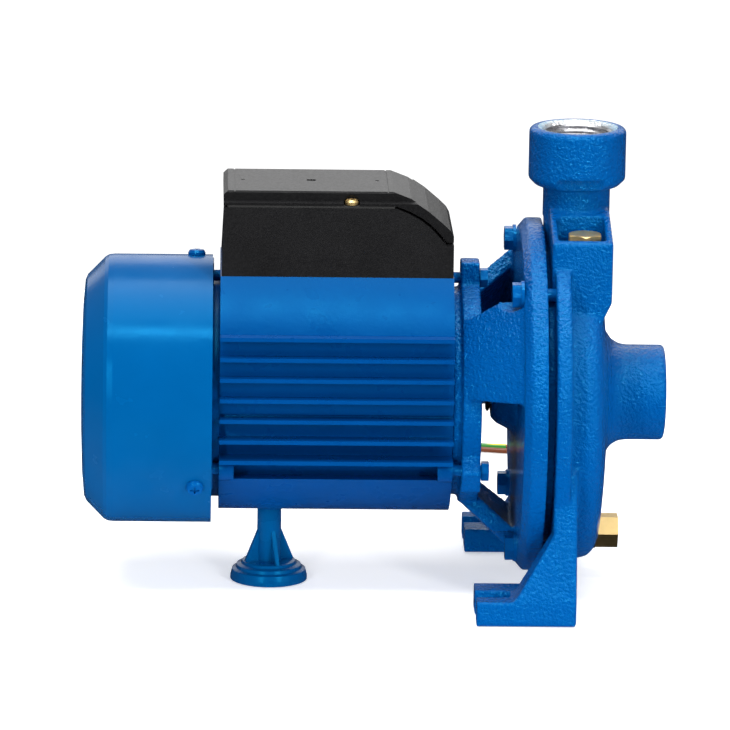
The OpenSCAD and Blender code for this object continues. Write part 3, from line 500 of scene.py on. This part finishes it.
for name in CAST_NODES:
    cast = nodes[name].modifiers
    remesh = cast.new("cast_skin", "REMESH")
    remesh.mode = "VOXEL"
    remesh.voxel_size = 0.9 * MM
    remesh.use_smooth_shade = True
    smooth = cast.new("cast_fillets", "SMOOTH")
    smooth.factor = 0.5
    smooth.iterations = 3

for name, width in SOFT_EDGES.items():
    weld = nodes[name].modifiers.new("joined_faces", "WELD")
    weld.merge_threshold = 0.002 * MM
    bevel = nodes[name].modifiers.new("soft_edges", "BEVEL")
    bevel.width = width * MM
    bevel.segments = 2
    bevel.limit_method = "ANGLE"
    bevel.angle_limit = math.radians(35)
    bevel.harden_normals = False


# ---------------------------------------------------------------- threads in the pipe ports
THREAD_PITCH = 2.309
THREAD_DEPTH = 1.0


def port_thread(name, place, upright, depth_from_face):
    """A helical ridge on the port's wall, seen when looking into it."""
    steps = 72
    rows_per_turn = 8
    turns = (PORT_DEPTH - 2.5) / THREAD_PITCH
    rows = int(turns * rows_per_turn)
    vertices, faces = [], []
    for row in range(rows + 1):
        for k in range(steps):
            angle = 2 * math.pi * k / steps
            depth = depth_from_face + row * THREAD_PITCH / rows_per_turn
            phase = (row / rows_per_turn + k / steps) % 1
            r = PORT_R - 0.04 - THREAD_DEPTH * (1 - abs(2 * phase - 1))
            across = (r * math.cos(angle), r * math.sin(angle))
            point = (*across, -depth) if upright else (-depth, *across)
            vertices.append(Vector(point) + Vector(place))
    for row in range(rows):
        for k in range(steps):
            a, b = row * steps + k, row * steps + (k + 1) % steps
            faces.append((a, b, b + steps, a + steps))
    return mesh_piece(name, vertices, faces, "steel", smooth=False)


port_thread("discharge_thread", (DISCHARGE_X, 0, DISCHARGE_FACE_Z), True, 1.8)
port_thread("suction_thread", (SUCTION_FACE_X, 0, SHAFT_Z), False, 1.8)


# ---------------------------------------------------------------- studio
def add_floor():
    """A pale sheet just under the feet, kept out of reflections."""
    bpy.ops.mesh.primitive_plane_add(size=1.1, location=(0, 0.05, -0.0004))
    floor = bpy.context.object
    floor.name = "floor"
    paper = Shader("floor_paper", 0.9)
    paper.colour(paper.mix(paper.noise(3, 3), (0.93, 0.93, 0.93), (0.96, 0.96, 0.96)))
    paper.shader.inputs["Emission Color"].default_value = (1, 1, 1, 1)
    paper.shader.inputs["Emission Strength"].default_value = 0.45
    floor.data.materials.append(paper.material)
    floor.visible_glossy = False


def add_softbox(name, place, aim, width, height, power):
    data = bpy.data.lights.new(name, "AREA")
    data.shape = "RECTANGLE"
    data.size = width
    data.size_y = height
    data.energy = power
    lamp = bpy.data.objects.new(name, data)
    bpy.context.collection.objects.link(lamp)
    lamp.location = place
    lamp.rotation_euler = (Vector(aim) - Vector(place)).to_track_quat("-Z", "Y").to_euler()
    lamp.visible_camera = False


def add_sky():
    """White to the camera. For everything else a dim white above, and darker below the horizon."""
    world = bpy.data.worlds.new("studio")
    world.use_nodes = True
    bpy.context.scene.world = world
    tree = world.node_tree
    background = tree.nodes["Background"]
    background.inputs["Color"].default_value = (1, 1, 1, 1)
    direction = tree.nodes.new("ShaderNodeTexCoord")
    parts = tree.nodes.new("ShaderNodeSeparateXYZ")
    tree.links.new(direction.outputs["Generated"], parts.inputs["Vector"])
    glow = tree.nodes.new("ShaderNodeMapRange")
    glow.inputs["From Min"].default_value = 0.05
    glow.inputs["From Max"].default_value = 0.5
    glow.inputs["To Min"].default_value = 0.03
    glow.inputs["To Max"].default_value = 0.26
    tree.links.new(parts.outputs["Z"], glow.inputs["Value"])
    path = tree.nodes.new("ShaderNodeLightPath")
    strength = tree.nodes.new("ShaderNodeMapRange")
    strength.inputs["To Max"].default_value = 1.15
    tree.links.new(glow.outputs["Result"], strength.inputs["To Min"])
    tree.links.new(path.outputs["Is Camera Ray"], strength.inputs["Value"])
    tree.links.new(strength.outputs["Result"], background.inputs["Strength"])


add_floor()
add_sky()
# Name, place, point it faces, width and height in metres, power in watts
for softbox in (
    ("top_box", (0, 0.1, 1.5), (0, 0, 0.1), 1.6, 1.2, 22),
    ("front_strip", (-0.1, -0.75, 1.45), (0, 0, 0.1), 1.5, 0.14, 15),
    ("right_strip", (0.9, -1.5, 0.75), (0.05, 0, 0.1), 0.08, 0.8, 14),
    ("left_strip", (-0.75, -1.6, 0.7), (0.05, 0, 0.1), 0.08, 0.8, 12),
    ("right_box", (1.6, -1.3, 0.7), (0, 0, 0.1), 0.8, 0.9, 4),
    ("back_panel", (0, 2.2, 0.9), (0, 0, 0.15), 3.0, 1.2, 12),
):
    add_softbox(*softbox)
bpy.context.scene.view_settings.view_transform = "Standard"

bpy.context.view_layer.update()
